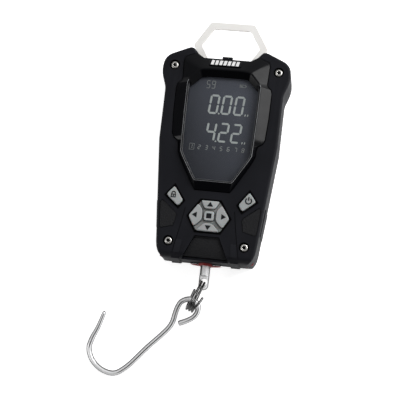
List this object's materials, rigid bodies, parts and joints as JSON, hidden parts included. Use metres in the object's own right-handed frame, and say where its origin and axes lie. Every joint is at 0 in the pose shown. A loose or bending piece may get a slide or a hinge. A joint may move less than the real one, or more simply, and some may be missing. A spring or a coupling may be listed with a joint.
{
  "type": "digital fish scale",
  "caption": "Hand-held digital hanging scale: black two-shell case with faceted display, grey keys, hexagonal steel handle, and a wire hook on a split ring and swivelling shaft.",
  "frame": {"origin": "on the flat rear face of the case, on its centre line, midway between the upper and lower case screws", "axes": "+Z out of the display, +Y towards the handle, +X to the right seen from the front"},
  "size_m": [0.1053, 0.2195, 0.0292],
  "materials": {
    "case_rubber": "matte soft-touch",
    "grip_rubber": "fine stipple",
    "gloss_black": "polished",
    "smoked_window": "clear",
    "key_silicone": "satin",
    "red_silicone": "satin",
    "brushed_steel": "fine brushed",
    "chrome": "polished",
    "aluminium": "milled",
    "board": "solder mask",
    "black_plastic": "matte",
    "white_plastic": "satin",
    "lcd_glass": "polished",
    "cell_jacket": "satin"
  },
  "bodies": {
    "case": {"front_shell": "case_rubber", "rear_shell": "case_rubber", "grip_pad_right": "grip_rubber", "grip_pad_left": "grip_rubber", "grip_pad_lower": "grip_rubber", "key_mat": "key_silicone", "display_bezel": "gloss_black", "badge_plate": "gloss_black", "display_window": "smoked_window", "lcd_panel": "lcd_glass", "backlight_plate": "white_plastic", "lcd_connector": "black_plastic", "case_seal": "red_silicone", "shaft_seal": "red_silicone", "main_board": "board", "controller_chip": "black_plastic", "amplifier_chip": "black_plastic", "temperature_sensor": "black_plastic", "buzzer": "black_plastic", "handle": "brushed_steel", "handle_pin": "brushed_steel", "load_cell": "aluminium", "strain_gauge": "white_plastic", "battery_left": "cell_jacket", "battery_right": "cell_jacket", "contact_plate_upper": "brushed_steel", "contact_plate_lower": "brushed_steel", "case_screw_upper_right": "brushed_steel", "case_screw_upper_left": "brushed_steel", "case_screw_lower_left": "brushed_steel", "case_screw_lower_right": "brushed_steel", "up_switch": "brushed_steel", "down_switch": "brushed_steel", "left_switch": "brushed_steel", "right_switch": "brushed_steel", "centre_switch": "brushed_steel", "power_switch": "brushed_steel", "hold_switch": "brushed_steel"},
    "up_key": {"up_key": "key_silicone"},
    "down_key": {"down_key": "key_silicone"},
    "left_key": {"left_key": "key_silicone"},
    "right_key": {"right_key": "key_silicone"},
    "centre_key": {"centre_key": "key_silicone"},
    "power_key": {"power_key": "key_silicone"},
    "hold_key": {"hold_key": "key_silicone"},
    "battery_door": {"battery_door": "case_rubber"},
    "shaft": {"hook_shaft": "chrome", "shaft_washer": "brushed_steel", "shaft_nut": "brushed_steel"},
    "ring": {"split_ring": "chrome"},
    "hook": {"hook": "chrome"}
  },
  "joints": [
    {"name": "up_key_press", "type": "slide", "parent": "case", "child": "up_key", "axis": [0, 0, -1], "range_m": [0, 0.0008], "stiffness_N_per_m": 800},
    {"name": "down_key_press", "type": "slide", "parent": "case", "child": "down_key", "axis": [0, 0, -1], "range_m": [0, 0.0008], "stiffness_N_per_m": 800},
    {"name": "left_key_press", "type": "slide", "parent": "case", "child": "left_key", "axis": [0, 0, -1], "range_m": [0, 0.0008], "stiffness_N_per_m": 800},
    {"name": "right_key_press", "type": "slide", "parent": "case", "child": "right_key", "axis": [0, 0, -1], "range_m": [0, 0.0008], "stiffness_N_per_m": 800},
    {"name": "centre_key_press", "type": "slide", "parent": "case", "child": "centre_key", "axis": [0, 0, -1], "range_m": [0, 0.0008], "stiffness_N_per_m": 800},
    {"name": "power_key_press", "type": "slide", "parent": "case", "child": "power_key", "axis": [0, 0, -1], "range_m": [0, 0.0008], "stiffness_N_per_m": 800},
    {"name": "hold_key_press", "type": "slide", "parent": "case", "child": "hold_key", "axis": [0, 0, -1], "range_m": [0, 0.0008], "stiffness_N_per_m": 800},
    {"name": "battery_door_pull", "type": "slide", "parent": "case", "child": "battery_door", "axis": [0, 0, -1], "range_m": [0, 0.02]},
    {"name": "shaft_swivel", "type": "hinge", "parent": "case", "child": "shaft", "pos_m": [0, -0.0636, 0.014], "axis": [0, 1, 0], "continuous": true},
    {"name": "ring_swing", "type": "hinge", "parent": "shaft", "child": "ring", "pos_m": [0, -0.074, 0.014], "axis": [0, 0, 1], "range_deg": [-45, 60]},
    {"name": "hook_swing", "type": "hinge", "parent": "ring", "child": "hook", "pos_m": [-0.0065, -0.0911, 0.0114], "axis": [0, 0, 1], "range_deg": [-30, 28]}
  ]
}
